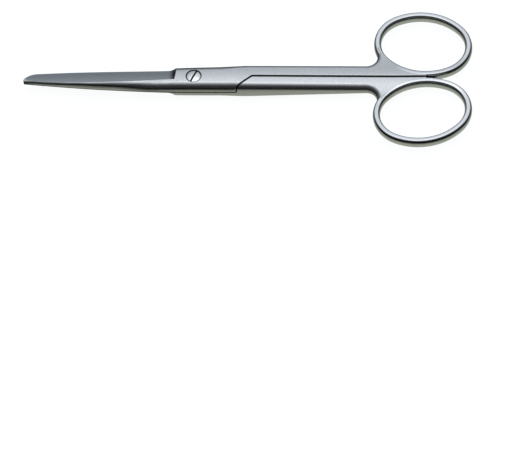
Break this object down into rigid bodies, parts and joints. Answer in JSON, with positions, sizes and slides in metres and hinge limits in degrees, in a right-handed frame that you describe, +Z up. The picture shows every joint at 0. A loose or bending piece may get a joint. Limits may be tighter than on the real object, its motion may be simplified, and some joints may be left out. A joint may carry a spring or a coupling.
{
  "type": "dissecting scissors",
  "caption": "Straight blunt-tipped surgical scissors in satin steel: bevelled blades on a slotted pivot screw, box-stepped joint, slender shanks and oval finger rings.",
  "frame": {"origin": "on the pivot axis, at the flat underside of the joint that the closed scissors rest on", "axes": "+X from the pivot towards the finger rings, +Y towards the upper half's ring, +Z up along the pivot axis towards the screw head"},
  "size_m": [0.1155, 0.043, 0.0048],
  "materials": {
    "upper_steel": "satin",
    "lower_steel": "satin",
    "screw_steel": "fine turned"
  },
  "bodies": {
    "lower": {"lower_half": "lower_steel", "pivot_screw": "screw_steel"},
    "upper": {"upper_half": "upper_steel"}
  },
  "joints": [
    {"name": "pivot", "type": "hinge", "parent": "lower", "child": "upper", "pos_m": [0, 0, 0], "axis": [0, 0, 1], "range_deg": [0, 145]}
  ]
}
